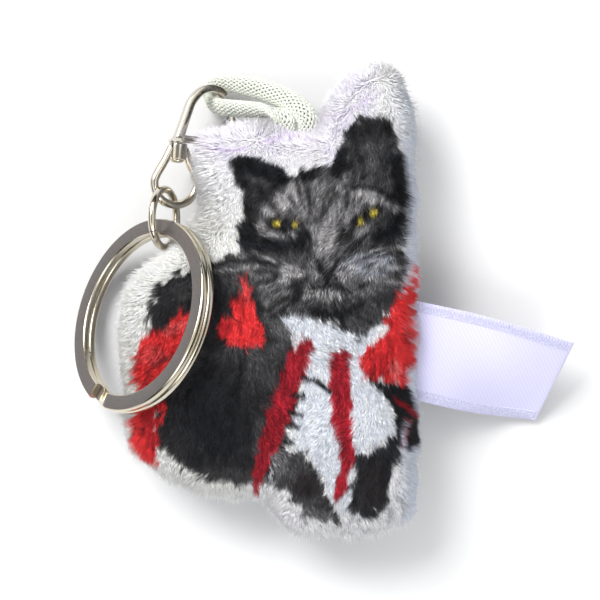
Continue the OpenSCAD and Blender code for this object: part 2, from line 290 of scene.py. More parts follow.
LEFT_LEG = [
    (-9.8, -27.6), (-8, -23), (-4, -23.8), (-1.4, -27.4), (-0.6, -30.4), (1.2, -32.8), (0.9, -34.2),
    (-4, -33.2), (-5.6, -30.6),
]
RIGHT_LEG = [
    (3.4, -24), (5.2, -23.8), (9.4, -21.4), (11.2, -24), (9, -26.8), (8.5, -29), (8.7, -31.2),
    (6.4, -33.2), (3, -33.1), (3.1, -28),
]
RIGHT_FLANK = [
    (5.2, -12.3), (11.8, -12.8), (12.6, -15.4), (13.6, -18.4), (14.1, -21.6), (12, -23.8),
    (10.4, -23), (9.3, -21), (9.4, -17.4), (7.9, -14.8),
]
LEFT_CAPE = [
    (-20.4, -1.2), (-23.4, -2.8), (-28.8, -6.4), (-29.9, -9.6), (-30, -15), (-31, -21.4),
    (-30, -23.6), (-28.6, -24.8), (-26.6, -24.8), (-26.2, -19), (-25, -13.4), (-23.2, -9.4),
    (-20.4, -5.2),
]
CLASP = [
    (-12.6, 3.4), (-11.5, -0.8), (-9.3, -5), (-10.2, -6.6), (-12.8, -8.2), (-14.9, -6.7),
    (-17.2, -5.4), (-17, -3.2), (-15.2, -2.8), (-14.3, 1),
]
RIGHT_CAPE = [
    (12.8, 5.4), (14.3, 2.2), (12.8, -1.4), (13, -7.4), (11.8, -12.7), (8.8, -12.9), (5.4, -12.1),
    (4.2, -10.2), (7.6, -5.6), (9.9, -1.4), (11.4, 2.2),
]
LEFT_RIBBON = [
    (-2.4, -5.8), (-4.4, -6), (-6.3, -8.4), (-7.6, -12.4), (-9.7, -18.2), (-11.4, -23.8),
    (-12.1, -29), (-11.1, -29.7), (-9.4, -25.6), (-7.4, -21.6), (-5.9, -17), (-4.2, -12.8),
    (-2.7, -8.8),
]
RIGHT_RIBBON = [
    (0, -8.2), (-0.4, -13.4), (0.4, -20.4), (1.5, -25), (0.4, -30.9), (1.1, -31.2), (2.9, -27.4),
    (3.5, -23.4), (3.1, -16.2), (2.9, -8.4), (1.4, -7.6),
]
CHIN_SHADOW = [
    (-5.4, 0.2), (-3.2, -1.9), (-1.3, -4.1), (0.8, -4), (3.4, -2.6), (5.8, -0.2), (2.8, -1.2),
    (-1.2, -1.6), (-3.6, -0.8),
]

NOSE = (-0.3, 4)

# (x, y, half width, half height, turn in degrees, colour, share of the paint)
HEAD_PATCHES = [
    (-3, 14.4, 4.4, 4.6, 0, GREY, 0.85), (1.8, 14.2, 3.4, 4.4, 20, GREY, 0.8),
    (-11.8, 19.9, 4.2, 1.8, -8, BLACK, 1), (-8, 18.7, 2.8, 1.2, -22, BLACK, 1),
    (-11, 16.6, 3.2, 1.4, -10, SOOT, 0.9), (-12.4, 14, 1.7, 2.8, 8, SOOT, 0.95),
    (-12.7, 9.6, 1.6, 2.8, 0, BLACK, 1), (-8.2, 14.2, 2.3, 1.7, 22, PALE_GREY, 0.85),
    (-5.4, 16.6, 1.9, 1.6, 40, PALE_GREY, 0.45), (-3.5, 18.7, 1.7, 1, 8, BLACK, 1),
    (-0.8, 9.3, 2.1, 3.3, 6, PALE_GREY, 0.9), (0.8, 12.4, 1.6, 2.6, -10, PALE_GREY, 0.4),
    (6, 22.4, 4, 4.6, -12, SOOT, 0.95), (5.9, 22, 2, 3.6, -12, DARK_GREY, 0.9),
    (1.3, 20.6, 1.4, 2.8, -20, BLACK, 1), (2.9, 25, 1.1, 2, -30, BLACK, 0.8),
    (7.4, 26.6, 2.4, 1.1, -10, SOOT, 0.8), (10.5, 18.6, 1.2, 4.2, 8, BLACK, 1),
    (5, 15.7, 3, 1.2, -12, PALE_GREY, 0.9), (10, 13.6, 1.8, 0.6, -16, PALE_GREY, 0.5),
    (-8.4, 8, 5.3, 1.35, 2, BLACK, 1), (-4.3, 9.3, 1.3, 1.6, -20, BLACK, 0.95),
    (8.9, 9.8, 3.1, 1.9, 24, BLACK, 1), (10.3, 12.2, 1.9, 1, 10, BLACK, 1),
    (-10.6, 11, 0.8, 0.9, 0, PALE_GREY, 0.6), (-7.9, 9.7, 2.9, 0.42, -3, PALE_GREY, 0.65),
    (4.8, 10.2, 1.6, 0.8, 40, GREY, 0.9),
    (-6, 3.9, 2.2, 1.9, 20, PALE_GREY, 0.95), (-10.8, 3.2, 2.6, 1.4, -30, GREY, 0.6),
    (-2.8, 4.4, 1.7, 2, 0, GREY, 0.85), (-0.4, 5.6, 0.8, 0.8, 0, GREY, 0.8),
    (5, 2, 4, 1.7, 0, GREY, 0.7), (9.6, 3.2, 2, 1.8, 0, GREY, 0.5),
    (6, 5.3, 4.9, 2.1, 4, BLUE_GREY, 0.8), (2.4, 4, 1.7, 1.7, 0, PALE_GREY, 0.7),
    (-0.3, 0.4, 3.5, 0.95, -2, PALE_GREY, 0.95), (-3.4, 1, 1.2, 1, 0, PALE_GREY, 0.6),
    (-5.1, 1.9, 0.9, 1.5, 30, BLACK, 0.8), (-8.4, 0.2, 2.6, 1.8, -20, GREY, 0.5),
    (9.2, 0.4, 2.4, 1.2, 40, SOOT, 0.8), (6.4, -2.8, 1.6, 1.2, 40, DARK_GREY, 0.7),
]
BODY_PATCHES = [
    (-9.6, -9.4, 3, 5, -14, DARK_GREY, 0.95), (-7.6, -3.4, 2.2, 3.6, 20, GREY, 0.6),
    (-20.6, 1.6, 4.4, 1.8, 20, DARK_GREY, 0.7), (-9.4, -20, 2.4, 5, -14, DARK_GREY, 0.75),
    (-13.4, 2.6, 3, 2, 0, DARK_GREY, 0.9), (-17.6, -18, 5.4, 8, 20, BLACK, 0.95),
    (-14, -27, 6, 1.2, -6, DARK_GREY, 0.8), (-16, -8.4, 3.4, 1.4, 0, DARK_GREY, 0.5),
    (-27.6, -12, 1.2, 8, 4, BLACK, 0.6),
]
LEG_PATCHES = [
    (-7.8, -25, 1.6, 2.6, 20, GREY, 0.85), (-2.2, -32.7, 3.1, 1, -6, GREY, 0.8),
    (-3.6, -28.2, 2, 2.4, 0, BROWNISH, 0.9), (6.2, -28.4, 2.2, 3.6, 0, BROWNISH, 0.8),
]
EYES = [
    (-7, 11.25, 3, 0.95, -3, BLACK, 1), (5.3, 12.5, 2.9, 0.95, 30, BLACK, 1),
    (-8.4, 11.3, 0.62, 0.5, 0, EYE, 1), (-5.5, 11.3, 0.55, 0.45, -20, EYE, 0.9),
    (4.5, 11.75, 0.5, 0.55, 30, EYE, 0.9), (6.5, 13.1, 0.7, 0.52, 30, EYE, 1),
]
# (colour, half width, share of the paint, points)
STROKES = [
    (BLACK, 0.5, 1, [(-2, 5.6), (-1.5, 4.3), (-0.6, 3.2)]),
    (BLACK, 0.42, 0.9, [(1, 5.9), (0.5, 4.6), (-0.3, 3.4)]),
    (BLACK, 0.34, 1, [(-0.5, 3.3), (-0.6, 2.2), (-1.4, 1.6), (-3.2, 1.6)]),
    (BLACK, 0.34, 1, [(-0.6, 2.2), (1.2, 1.7), (2.7, 1.1), (4.2, 1.6), (5.8, 2.5)]),
    (BLACK, 0.5, 0.95, [(3.4, 16.9), (5.8, 17), (8.4, 16), (11.6, 14.2)]),
    (BLACK, 0.35, 0.8, [(2, 17.4), (2.6, 15.4), (2.4, 13.8)]),
    (SOOT, 0.35, 0.8, [(-19.6, 5), (-15, 5.8), (-10.6, 5.6), (-8, 5.9)]),
    (PALE_GREY, 0.25, 0.8, [(-20, 4), (-15, 4.5), (-11, 4.9)]),
    (PALE_GREY, 0.2, 0.7, [(-14, 6.4), (-11, 6.6), (-8.4, 5.6)]),
    (PALE_GREY, 0.22, 0.7, [(4.6, 7), (8.4, 7.6), (11.6, 8)]),
    (SOOT, 0.2, 0.8, [(4.8, 6.2), (8.4, 6.6), (11.6, 7)]),
    (PALE_GREY, 0.2, 0.7, [(5.4, 4.8), (8.8, 5), (11.8, 4.8)]),
    (SOOT, 0.2, 0.8, [(5.2, 4), (8.6, 4), (11.6, 3.6)]),
    (PALE_GREY, 0.2, 0.6, [(6, 3.2), (8.6, 2.8), (11, 2.4)]),
]
TICKS = [
    (BLACK, 0.42, 1, [(-4.1, -11.9), (-2, -12.7), (-0.2, -14)]),
    (BLACK, 0.45, 1, [(-5.8, -14.6), (-4.2, -14.9)]),
    (BLACK, 0.42, 1, [(-6.2, -17.3), (-4.6, -17.7)]),
    (BLACK, 0.38, 1, [(-6.6, -19.4), (-5, -19.5)]),
    (BLACK, 0.4, 1, [(-7.2, -21.8), (-5.8, -21.9)]),
    (DEEP_RED, 0.4, 0.9, [(9.9, -15.4), (11.6, -16.4), (13.3, -18)]),
    (PINK_RED, 0.25, 0.8, [(11.9, -18.4), (11.3, -20.4), (11.1, -22.6)]),
    (GREY, 0.25, 0.7, [(-4.4, -33), (-3.8, -34.2)]),
    (GREY, 0.22, 0.6, [(1, -33.6), (1.6, -34.6)]),
    (GREY, 0.22, 0.5, [(4, -33.8), (4.6, -34.8), (6, -34.9)]),
    (GREY, 0.22, 0.5, [(8.4, -31.6), (9.4, -32.6), (8.6, -33.8)]),
    (PALE_GREY, 0.3, 0.6, [(10.2, -30.6), (11.6, -31.4), (11, -33)]),
    (COOL_WHITE_SHADE_AND_PRINT, 0.25, 0.9, [(11.6, -18.8), (11, -20.6), (11.3, -23)]),
]
CAPE_PATCHES = [
    (-27.4, -17.6, 1.8, 6, 4, DEEP_RED, 0.55), (-23.8, -4.6, 2, 1, 25, PINK_RED, 0.5),
    (-27.2, -8.4, 2, 1.4, 30, PINK_RED, 0.35), (-25.4, -9.4, 2.2, 0.5, 30, SOOT, 0.6),
    (-11.6, -4.6, 1.8, 2.4, -20, RED, 0.5), (9.8, -10.6, 1.2, 1.7, 0, PINK_RED, 0.75),
    (7.6, -10.2, 2.6, 2.2, 40, DEEP_RED, 0.4), (12.8, 2.6, 1.1, 2, 10, PINK_RED, 0.5),
    (-16.2, -4.2, 1.2, 1, 0, DEEP_RED, 0.7), (-12.8, 1, 0.8, 2, 0, PINK_RED, 0.3),
    (12.2, -4.2, 1, 3, 0, PINK_RED, 0.4), (-5.6, -11, 1.6, 4, -16, DEEP_RED, 0.35),
    (-9.6, -20, 1.6, 5, -16, DEEP_RED, 0.5), (1.4, -12.6, 1.2, 4, 0, DEEP_RED, 0.3),
]


def off_segment(x, y, start, end):
    """How far each place is from the straight line between two points."""
    dx, dy, ex, ey = x - start[0], y - start[1], end[0] - start[0], end[1] - start[1]
    t = np.clip((dx * ex + dy * ey) / (ex * ex + ey * ey), 0, 1)
    return np.hypot(dx - t * ex, dy - t * ey)


def off_line(x, y, points):
    pairs = zip(points, points[1:])
    return np.min([off_segment(x, y, start, end) for start, end in pairs], axis=0)


def inside_by(x, y, outline):
    """How far inside an outline each place is, in millimetres; negative outside."""
    ring = outline + outline[:1]
    inside = np.zeros(x.shape, bool)
    for (ax, ay), (bx, by) in zip(ring, ring[1:]):
        if ay != by:
            inside ^= ((ay > y) != (by > y)) & (x < ax + (bx - ax) * (y - ay) / (by - ay))
    nearest = off_line(x, y, ring)
    return np.where(inside, nearest, -nearest)


def paint(colour, mask, over):
    """A colour, or a whole picture, laid over another as far as the mask says."""
    return over + mask[..., None] * (np.array(colour) - over)


def fill(rgb, x, y, outline, colour, ragged):
    """A shape whose edge wanders as pile does."""
    wander = (noise(x, y, 1.1, 3) - 0.5) * 2 * ragged + (noise(x, y, 0.4, 4) - 0.5) * ragged
    return paint(colour, smooth((inside_by(x, y, outline) + wander) / 0.35 + 0.5), rgb)


def patches(rgb, x, y, rows):
    for cx, cy, rx, ry, turn, colour, share in rows:
        a = math.radians(turn)
        u = ((x - cx) * math.cos(a) + (y - cy) * math.sin(a)) / rx
        v = ((y - cy) * math.cos(a) - (x - cx) * math.sin(a)) / ry
        wander = (noise(x, y, 0.9, 7) - 0.5) * 0.6
        rgb = paint(colour, share * smooth((1.15 - np.hypot(u, v) + wander) / 0.5), rgb)
    return rgb


def strokes(rgb, x, y, rows):
    for colour, half, share, points in rows:
        wander = (noise(x, y, 0.7, 9) - 0.5) * 0.3
        mask = smooth((half - off_line(x, y, points) + wander) / 0.3 + 0.4)
        rgb = paint(colour, share * mask, rgb)
    return rgb


def ground(x, y):
    """The white ground: lilac along the top, with painted shade in cool blue at the right edge and
    painted light in warm white at the left.
    """
    rgb = np.tile(np.array(WHITE), x.shape + (1,))
    # painted light: warm white over the left side, where the lamp falls
    rgb = paint(WARM_PAINTED_LIGHT, 0.8 * smooth((-8 - x) / 8) * smooth((17 - y) / 6), rgb)
    # painted shade: cool blue-white along the right edge, away from the light
    rgb = paint(COOL_WHITE_SHADE_AND_PRINT, 0.75 * smooth((x - 9.5) / 3), rgb)
    top = smooth((y - 17) / 7) * smooth((9 - x) / 5)
    rgb = paint(LILAC, 0.55 * top * (0.5 + 0.5 * noise(x, y, 3, 11)), rgb)
    line = np.abs(y - 23.6 - 1.1 * np.sin((x + 11) * 0.33) - 0.6 * (noise(x, y, 2.4, 12) - 0.5))
    streak = smooth(1 - line / 0.4) * smooth((noise(x, y, 3, 13) - 0.35) * 4)
    rgb = paint(PURPLE, 0.5 * streak * smooth((-1 - x) / 2), rgb)
    ear = np.abs((x - 4.6) * 0.55 - (y - 29.6) + 0.5 * (noise(x, y, 2, 14) - 0.5))
    mask = smooth(1 - ear / 0.35) * smooth((x + 1) / 2) * smooth((9 - x) / 2)
    return paint(PURPLE, 0.3 * mask, rgb)


def streaked(rgb, x, y, amount):
    """Light and dark streaks: down the body, and fanning out from the nose over the head."""
    bend = 1.6 * (noise(x, y, 5, 20) - 0.5)
    fine = noise(x + bend * y * 0.15, y * 0.22, 0.28, 21) - 0.5
    broad = noise(x + bend, y * 0.4, 0.8, 22) - 0.5
    angle, reach = np.arctan2(y - NOSE[1], x - NOSE[0]), np.hypot(y - NOSE[1], x - NOSE[0])
    fan = noise(angle * 9, reach * 0.22, 0.26, 23) + noise(angle * 9, reach * 0.3, 0.6, 24) - 1
    head = smooth(inside_by(x, y, HEAD) / 2 + 0.5)
    line = (1.5 * fine + broad) * (1 - head) + 2.6 * fan * head
    return rgb * np.clip(1 + amount * line, 0.25, 1.9)[..., None]


def print_colour(x, y):
    """The print's colour, with painted light and shade on its white ground, at places on the plane of
    the seam, in millimetres.
    """
    rgb = fill(ground(x, y), x, y, BODY, SOOT, 0.9)
    rgb = patches(rgb, x, y, BODY_PATCHES)
    for outline, colour, ragged in ((RIGHT_FLANK, BLACK, 0.6), (BIB, BIB_WHITE, 0.8),
                                    (LEFT_LEG, DARK_GREY, 0.8), (RIGHT_LEG, SOOT, 0.7)):
        rgb = fill(rgb, x, y, outline, colour, ragged)
    rgb = patches(rgb, x, y, LEG_PATCHES)
    rgb = fill(rgb, x, y, HEAD, DARK_GREY, 0.7)
    head = patches(rgb, x, y, HEAD_PATCHES)
    head = fill(head, x, y, CHIN_SHADOW, BLACK, 0.6)
    head = strokes(head, x, y, STROKES)
    head = patches(head, x, y, EYES)
    rgb = paint(head, smooth(inside_by(x, y, HEAD) / 0.5 + 0.8), rgb)
    for outline in (LEFT_CAPE, CLASP, RIGHT_CAPE):
        rgb = fill(rgb, x, y, outline, RED, 0.9)
    for outline in (LEFT_RIBBON, RIGHT_RIBBON):
        rgb = fill(rgb, x, y, outline, RIBBON_RED, 0.45)
    red = patches(rgb, x, y, CAPE_PATCHES)
    rgb = paint(red, smooth((rgb[..., 0] - 4 * rgb[..., 1]) / 0.2), rgb)
    rgb = strokes(rgb, x, y, TICKS)
    # white pile shows its streaks least
    amount = 0.62 - 0.54 * smooth((rgb.min(-1) - 0.4) * 4)
    return np.clip(streaked(rgb, x, y, amount), DARKEST, LIGHTEST)


# how far below the seam the print begins to give way to the plain back
PRINT_BELOW = 2.5


def seen_from_above(points):
    """Where places on the charm fall on the plane of the seam, in millimetres, from high above."""
    grow = (CAMERA_HEIGHT - SEAM_Z) / (CAMERA_HEIGHT - points[:, 2])
    return (VIEW_CENTRE[0] + (points[:, 0] - VIEW_CENTRE[0]) * grow,
            VIEW_CENTRE[1] + (points[:, 1] - VIEW_CENTRE[1]) * grow)


def back_colour(x, y):
    rgb = np.tile(np.array(WHITE), x.shape + (1,))
    rgb = paint(LILAC, 0.25 * noise(x, y, 6, 31), rgb)
    return rgb * (0.94 + 0.08 * noise(x, y, 0.6, 32))[..., None]


def plush_colour(points):
    """The fabric's colour at places on the charm: the print above the seam, plain white below."""
    x, y = seen_from_above(points)
    front = smooth((points[:, 2] - SEAM_Z + PRINT_BELOW) / 1.6)[:, None]
    return print_colour(x, y) * front + back_colour(x, y) * (1 - front)


# ---- materials ----


def new_material(name):
    material = bpy.data.materials.new(name)
    material.use_nodes = True
    tree = material.node_tree
    return material, tree, tree.nodes["Principled BSDF"]


def add(tree, kind, **values):
    """A node with values set on its sockets, or on itself where it has no such socket."""
    node = tree.nodes.new(kind)
    for key, value in values.items():
        if key in node.inputs:
            node.inputs[key].default_value = value
        else:
            setattr(node, key, value)
    return node


def place_node(tree, scale=(1, 1, 1)):
    """Object coordinates, scaled."""
    where = add(tree, "ShaderNodeTexCoord")
    mapping = add(tree, "ShaderNodeMapping")
    mapping.inputs["Scale"].default_value = scale
    tree.links.new(where.outputs["Object"], mapping.inputs["Vector"])
    return mapping.outputs["Vector"]


def ramp(tree, source, stops):
    node = add(tree, "ShaderNodeValToRGB")
    while len(node.color_ramp.elements) < len(stops):
        node.color_ramp.elements.new(0.5)
    for element, (place, colour) in zip(node.color_ramp.elements, stops):
        element.position = place
        element.color = (*colour, 1)
    tree.links.new(source, node.inputs["Fac"])
    return node.outputs["Color"]


def feed(tree, shader, socket, source, stops):
    """A ramp of a source, led to one of the shader's sockets."""
    tree.links.new(ramp(tree, source, stops), shader.inputs[socket])


def grey(v):
    return (v, v, v)


def bump(tree, shader, source, strength, distance):
    node = add(tree, "ShaderNodeBump", Strength=strength, Distance=distance)
    tree.links.new(source, node.inputs["Height"])
    tree.links.new(node.outputs["Normal"], shader.inputs["Normal"])


def pile_material(name, roughness, sheen):
    """Printed pile: the colour is in the mesh, with a fine grain over it."""
    material, tree, shader = new_material(name)
    colour = add(tree, "ShaderNodeAttribute", attribute_name="print")
    grain = add(tree, "ShaderNodeTexNoise", Scale=900, Detail=3)
    tree.links.new(place_node(tree), grain.inputs["Vector"])
    shade = ramp(tree, grain.outputs["Fac"], [(0.3, grey(0.9)), (0.7, grey(1))])
    mix = add(tree, "ShaderNodeMixRGB", blend_type="MULTIPLY", Fac=1)
    tree.links.new(colour.outputs["Color"], mix.inputs["Color1"])
    tree.links.new(shade, mix.inputs["Color2"])
    tree.links.new(mix.outputs["Color"], shader.inputs["Base Color"])
    shader.inputs["Roughness"].default_value = roughness
    shader.inputs["Sheen Weight"].default_value = sheen
    shader.inputs["Specular IOR Level"].default_value = 0.14
    bump(tree, shader, grain.outputs["Fac"], 0.4, 0.0001)
    return material


def metal_material(name, colour, roughness, scratch, tint):
    """Plated metal: warm and cool patches, fine scratches and a little wear."""
    material, tree, shader = new_material(name)
    patch = add(tree, "ShaderNodeTexNoise", Scale=260, Detail=2)
    tree.links.new(place_node(tree), patch.inputs["Vector"])
    stops = [(0.35, colour), (0.7, tuple(c * t for c, t in zip(colour, tint)))]
    feed(tree, shader, "Base Color", patch.outputs["Fac"], stops)
    fine = add(tree, "ShaderNodeTexNoise", Scale=1, Detail=4)
    tree.links.new(place_node(tree, (900, 5200, 2400)), fine.inputs["Vector"])
    stops = [(0.3, grey(roughness)), (0.75, grey(roughness * 2.2))]
    feed(tree, shader, "Roughness", fine.outputs["Fac"], stops)
    shader.inputs["Metallic"].default_value = 1
    bump(tree, shader, fine.outputs["Fac"], scratch, 0.00004)
    return material


def satin_material():
    """Satin ribbon: fine slanting floats with a soft shine."""
    material, tree, shader = new_material("satin")
    wave = add(tree, "ShaderNodeTexWave", Scale=1, Distortion=1.2, Detail=2, bands_direction="DIAGONAL")
    wave.inputs["Detail Scale"].default_value = 2
    tree.links.new(place_node(tree, (1100, 560, 0)), wave.inputs["Vector"])
    source = wave.outputs["Color"]
    feed(tree, shader, "Base Color", source, [(0.1, (0.53, 0.52, 0.71)), (0.9, (0.57, 0.56, 0.76))])
    feed(tree, shader, "Roughness", source, [(0, grey(0.48)), (1, grey(0.34))])
    shader.inputs["Sheen Weight"].default_value = 0.4
    bump(tree, shader, source, 0.06, 0.00005)
    return material


def yarn_material(name, low, high, roughness, fineness):
    """Twisted filaments: fine lines of light and dark."""
    material, tree, shader = new_material(name)
    lines = add(tree, "ShaderNodeTexNoise", Scale=fineness, Detail=3)
    tree.links.new(place_node(tree), lines.inputs["Vector"])
    source = lines.outputs["Fac"]
    feed(tree, shader, "Base Color", source, [(0.3, low), (0.65, high)])
    feed(tree, shader, "Roughness", source, [(0.2, grey(roughness + 0.15)), (0.8, grey(roughness))])
    shader.inputs["Sheen Weight"].default_value = 0.3
    bump(tree, shader, source, 0.5, 0.00006)
    return material


BACKING = pile_material("pile_backing", 0.95, 0.03)
PILE = pile_material("pile", 0.6, 0.02)
NICKEL = metal_material("nickel", (0.62, 0.59, 0.53), 0.1, 0.12, (1, 0.93, 0.8))
# painted reflection: the split ring's flat faces get a dark copy of the ring's metal, standing in for
# the dim sky they reflect
RING_FACE_PAINTED_REFLECTION = metal_material("ring_face_painted_reflection", (0.165, 0.155, 0.15), 0.3, 0.25, (1.08, 1, 0.97))
RING_EDGE = metal_material("ring_edge", (0.66, 0.62, 0.53), 0.12, 0.15, (1, 0.94, 0.8))
SPRING = metal_material("spring", (0.5, 0.5, 0.5), 0.25, 0.2, (0.9, 0.9, 0.9))
SATIN = satin_material()
CORD_YARN = yarn_material("cord_yarn", (0.42, 0.44, 0.385), (0.74, 0.76, 0.68), 0.34, 4200)
# painted shade: the cord's core is near black so that the inside of the braid and of its bend shows
# dark
CORD_CORE_PAINTED_SHADE = yarn_material("cord_core_painted_shade", (0.008, 0.01, 0.008), (0.03, 0.035, 0.03), 0.8, 3000)
THREAD = yarn_material("label_thread", (0.42, 0.42, 0.6), (0.66, 0.66, 0.82), 0.6, 5000)
FIBRE = yarn_material("fibre_fill", (0.7, 0.7, 0.7), (0.95, 0.95, 0.95), 0.95, 1500)

# ---- the braided cord ----

CORD_POINTS = [
    (-3.4, 26.4, 10), (-3.6, 27.4, 10), (-4.6, 28.9, 9.7), (-7, 30.6, 8.4), (-10.4, 32.1, 6.6),
    (-13.4, 33, 4.8), (-15.8, 33.4, 3.4), (-17.8, 33.1, 2.7), (-19, 32, 2.5),
    (-18.7, 30.7, 2.9), (-17.4, 29.8, 4.6), (-15.4, 29.3, 6.8), (-12.6, 29, 8.4),
    (-9.6, 28.6, 9.5), (-7.3, 27.6, 10), (-7, 26.4, 10),
]
CORD_WIDTH = 3.4
CORD_THICKNESS = 1.8

STRANDS = 14
TURNS_PER_MM = 1 / 15
BRAID_STEP = 0.16
STRAND_WIDTH = 0.4
STRAND_LIFT = 0.12
STRAND_HEIGHT = 0.13
TAIL_IN = 1.4
ROLL = 32
CORE_SIDES = 16
# the bend round the hook: where along the cord, over what share of it, and how much is pinched
BEND_AT, BEND_SPREAD = 0.5, 0.12
PINCH_ACROSS, PINCH_THROUGH = 0.12, 0.25


def cord_route():
    """The route with a short tail at each end, in even steps, and the cord's wide direction there."""
    points = np.array(CORD_POINTS, float)
    into = np.array([0, -TAIL_IN, 0])
    points = np.concatenate([[points[0] + into], points, [points[-1] + into]])
    fine = spline(points, 40)
    run = np.concatenate([[0], np.cumsum(np.linalg.norm(np.diff(fine, axis=0), axis=1))])
    at = np.linspace(0, run[-1], int(run[-1] / BRAID_STEP))
    path = np.stack([np.interp(at, run, fine[:, k]) for k in range(3)], 1)
    turn = np.pi * np.clip((at - TAIL_IN) / (run[-1] - 2 * TAIL_IN), 0, 1)
    roll = np.radians(ROLL) * np.sin(turn)
    side = np.stack([np.cos(turn) * np.cos(roll), np.sin(turn) * np.cos(roll), np.sin(roll)], 1)
    return path, at, side, run[-1]


def braided_cord():
    path, at, side, length = cord_route()
    wide, thin = frames_along(path, side)
    inset = STRAND_LIFT + STRAND_HEIGHT
    pulled = np.exp(-((at / length - BEND_AT) / BEND_SPREAD) ** 2)[:, None]
    width = (CORD_WIDTH / 2 - inset) * (1 - PINCH_ACROSS * pulled)
    thickness = (CORD_THICKNESS / 2 - inset) * (1 - PINCH_THROUGH * pulled)
    parts = []
    for way in (1, -1):
        for k in range(STRANDS):
            angle = 2 * math.pi * k / STRANDS + way * 2 * math.pi * TURNS_PER_MM * at
            over = np.cos(math.pi * (k + way * 2 * STRANDS * TURNS_PER_MM * at + k)) * way
            to_side, to_top = np.cos(angle)[:, None] * wide, np.sin(angle)[:, None] * thin
            outward = unit(to_side / width + to_top / thickness)
            centre = path + to_side * width + to_top * thickness
            parts.append(flat_strand(centre + outward * (STRAND_LIFT * over)[:, None], outward))
    core = round_section(2 * width.min() - inset, 2 * thickness.min() - inset, CORE_SIDES)
    return joined(parts), tube(path, core, side), path, length


def flat_strand(centre, outward):
    """One flat bundle of yarn: a low arch in section."""
    across = unit(np.cross(tangents(centre), outward))
    half, top = STRAND_WIDTH / 2, STRAND_HEIGHT
    section = [(-half, 0), (-0.6 * half, 0.8 * top), (0, top), (0.6 * half, 0.8 * top), (half, 0),
               (0, -0.6 * top)]
    return swept(centre, section, across, outward)


def make_cord():
    strands, core, path, length = braided_cord()
    cord = make_piece("braided_cord", joined([core, strands]), CORD_YARN, None,
                      ["cord_loop", "loop_tails"])
    cord.data.materials.append(CORD_CORE_PAINTED_SHADE)
    # painted shade: the core's faces take the near-black second material
    kinds = np.zeros(len(cord.data.polygons), np.int32)
    kinds[: len(core[1])] = 1
    cord.data.polygons.foreach_set("material_index", kinds)
    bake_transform(cord)
    return cord


cord = make_cord()

# ---- the satin label ----

LABEL_START = (11.6, -7.5)
LABEL_WIDTH, LABEL_LENGTH, LABEL_THICK = 15, 23.5, 0.5
LABEL_SLOPE, LABEL_ROLL, LABEL_SKEW, LABEL_LOW = 13, 36, 1.5, 0.9
LABEL_LAYER, LABEL_RIPPLE = 0.2, 0.12
# the shares of the length where the ribbon begins, inside the seam, and where its fold begins
LABEL_ROOT, LABEL_FOLD = -0.06, 0.985
EDGING_LOOPS, EDGING_STEPS, EDGING_RADIUS = 52, 6, 0.09
EDGING_IN, EDGING_OUT = 0.8, 0.985


def label_point(u, v, side):
    """The ribbon's surface: u runs along it, v across it from -1 to 1, side is off its middle."""
    slope, roll = math.radians(LABEL_SLOPE), math.radians(LABEL_ROLL)
    droop = smooth(u)
    across = v * LABEL_WIDTH / 2
    end_z = LABEL_LOW + LABEL_WIDTH / 2 * math.sin(roll)
    ripple = LABEL_RIPPLE * np.sin(u * 9 + v) * u * (1 - 0.3 * v)
    x = (LABEL_START[0] + u * LABEL_LENGTH * math.cos(slope)
         + across * math.sin(slope) * LABEL_SKEW * u)
    y = (LABEL_START[1] - u * LABEL_LENGTH * math.sin(slope)
         + across * (1 - u + np.cos(roll * droop) * u))
    z = SEAM_Z + (end_z - SEAM_Z) * droop + across * np.sin(roll * droop) + side + ripple
    return np.stack([x, y, z], -1)


def folded_label():
    """Two layers joined by a round fold at the far end, as one closed thin solid."""
    rows, columns, bend = 46, 26, 8
    middle = LABEL_THICK / 2 - LABEL_LAYER / 2
    stations = [(u, middle, 0.0) for u in np.linspace(LABEL_ROOT, LABEL_FOLD, rows)]
    stations += [(LABEL_FOLD, middle * math.cos(a), 0.35 * math.sin(a))
                 for a in np.linspace(0, math.pi, bend + 2)[1:-1]]
    stations += [(u, -middle, 0.0) for u in np.linspace(LABEL_FOLD, LABEL_ROOT, rows)]
    v = np.linspace(-1, 1, columns)
    line = np.array([label_point(np.full(columns, u), v, side) + [out, 0, 0]
                     for u, side, out in stations])
    along = unit(np.gradient(line, axis=0))
    cross = unit(np.gradient(line, axis=1))
    off = unit(np.cross(along, cross)) * LABEL_LAYER / 2
    grid = np.concatenate([(line + off).reshape(-1, 3), (line - off).reshape(-1, 3)])
    n, m = len(stations), columns
    s = n * m
    faces = []
    for i in range(n - 1):
        for j in range(m - 1):
            a, b, c, d = i * m + j, i * m + j + 1, (i + 1) * m + j + 1, (i + 1) * m + j
            faces += [(a, b, c, d), (s + a, s + d, s + c, s + b)]
        for a, d in ((i * m, (i + 1) * m), (i * m + m - 1, (i + 1) * m + m - 1)):
            faces.append((a, d, s + d, s + a))
    for j in range(m - 1):
        for row in (0, n - 1):
            a = row * m + j
            faces.append((a, a + 1, s + a + 1, s + a))
    return grid, faces


def selvedge_loops():
    """Rows of small thread loops along both edges of the ribbon's upper layer."""
    parts = []
    thread = round_section(2 * EDGING_RADIUS, 2 * EDGING_RADIUS, 6)
    steps = np.linspace(0.02, 0.975, EDGING_LOOPS * EDGING_STEPS)
    wave = 0.5 + 0.5 * np.cos(np.arange(len(steps)) * 2 * math.pi / EDGING_STEPS)
    straight = np.linspace(0.01, 0.98, 80)
    for edge in (1, -1):
        v = edge * (EDGING_IN + (EDGING_OUT - EDGING_IN) * wave)
        loops = label_point(steps, v, LABEL_THICK / 2 + EDGING_RADIUS * 0.6)
        line = label_point(straight, np.full(80, edge * EDGING_IN),
                           LABEL_THICK / 2 + EDGING_RADIUS * 0.5)
        parts += [tube(path, thread, (0, 0, 1)) for path in (loops, line)]
    return joined(parts)


